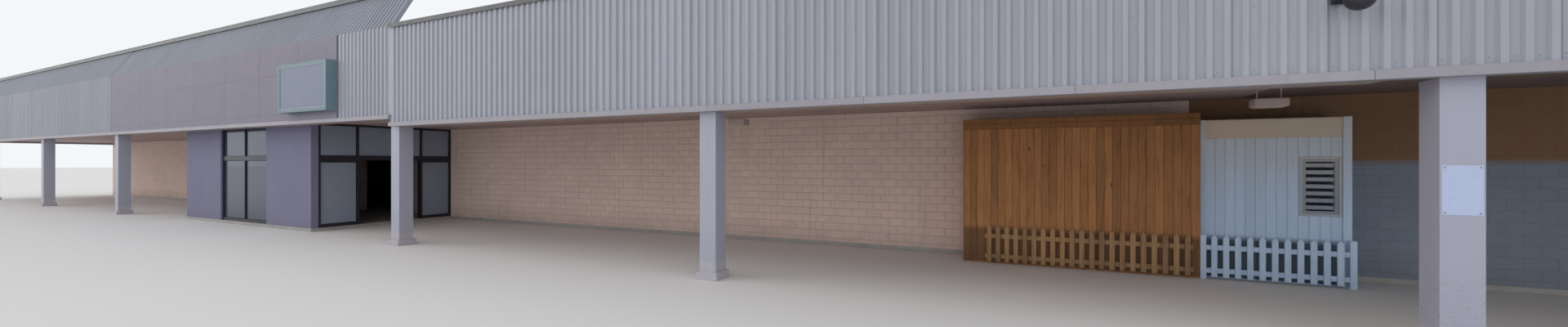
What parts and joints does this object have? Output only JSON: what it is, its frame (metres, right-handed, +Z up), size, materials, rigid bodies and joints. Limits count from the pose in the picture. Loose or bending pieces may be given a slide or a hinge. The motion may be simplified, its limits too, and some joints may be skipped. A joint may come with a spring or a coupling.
{
  "type": "garden center frontage, 1:2 scale model",
  "caption": "Long low store front with a covered arcade on square columns, ribbed metal fascia, raised entrance part, glazed vestibule with sliding doors, and boarded booths.",
  "frame": {"origin": "Middle of the footprint's bounding rectangle, at ground level.", "axes": "+X runs along the front, to the right for a person who faces it; +Y runs into the building, from the arcade to the rear wall; +Z is up."},
  "size_m": [36.4, 12.384, 3.645],
  "materials": {
    "concrete": "smooth",
    "wall_masonry": "matte",
    "roof_membrane": "matte",
    "coping_metal": "satin",
    "column_paint": "satin",
    "soffit_paint": "matte",
    "fascia_metal": "satin",
    "trim_metal": "satin",
    "cap_metal": "satin",
    "sign_panel_metal": "satin",
    "sign_box_face": "satin",
    "lamp_housing": "satin",
    "galvanized_steel": "dull",
    "pier_render": "matte",
    "bronze_frame": "anodised",
    "clear_glass": "polished",
    "stained_timber": "oiled",
    "picket_timber": "oiled",
    "white_timber": "painted"
  },
  "bodies": {
    "building": {"store_floor": "concrete", "vestibule_floor": "concrete", "front_wall_left": "wall_masonry", "front_wall_right": "wall_masonry", "entrance_lintel": "wall_masonry", "left_end_wall": "wall_masonry", "right_end_wall": "wall_masonry", "rear_wall": "wall_masonry", "store_roof": "roof_membrane", "canopy_roof": "roof_membrane", "wall_copings": "coping_metal", "left_wing_columns": "column_paint", "near_wing_columns": "column_paint", "edge_beam_left": "soffit_paint", "edge_beam_near": "soffit_paint", "soffit_left": "soffit_paint", "soffit_near": "soffit_paint", "canopy_ends": "fascia_metal", "fascia_near": "fascia_metal", "fascia_left": "fascia_metal", "sign_panel": "sign_panel_metal", "raised_screen_left": "fascia_metal", "raised_screen_entrance": "sign_panel_metal", "fascia_trims": "trim_metal", "fascia_caps": "cap_metal", "screen_braces": "galvanized_steel", "sign_box": "sign_box_face", "fascia_lamp": "lamp_housing", "vestibule_piers": "pier_render", "front_window_frame": "bronze_frame", "left_side_frame": "bronze_frame", "door_header": "bronze_frame", "sidelight_frames": "bronze_frame", "vestibule_glass": "clear_glass", "timber_booth_front": "stained_timber", "timber_booth_ends": "stained_timber", "timber_pickets": "picket_timber", "white_booth_front": "white_timber", "white_booth_end": "white_timber", "white_booth_window": "white_timber", "white_pickets": "white_timber"},
    "front_leaf": {"door_leaf_front": "bronze_frame", "door_glass_front": "clear_glass"},
    "rear_leaf": {"door_leaf_rear": "bronze_frame", "door_glass_rear": "clear_glass"}
  },
  "joints": [
    {"name": "front_leaf_slide", "type": "slide", "parent": "building", "child": "front_leaf", "axis": [0, 1, 0], "range_m": [0, 0.5]},
    {"name": "rear_leaf_slide", "type": "slide", "parent": "building", "child": "rear_leaf", "axis": [0, -1, 0], "range_m": [0, 0.5]}
  ],
  "couplings": [
    {"joint": "rear_leaf_slide", "follows": "front_leaf_slide", "ratio": 1}
  ]
}
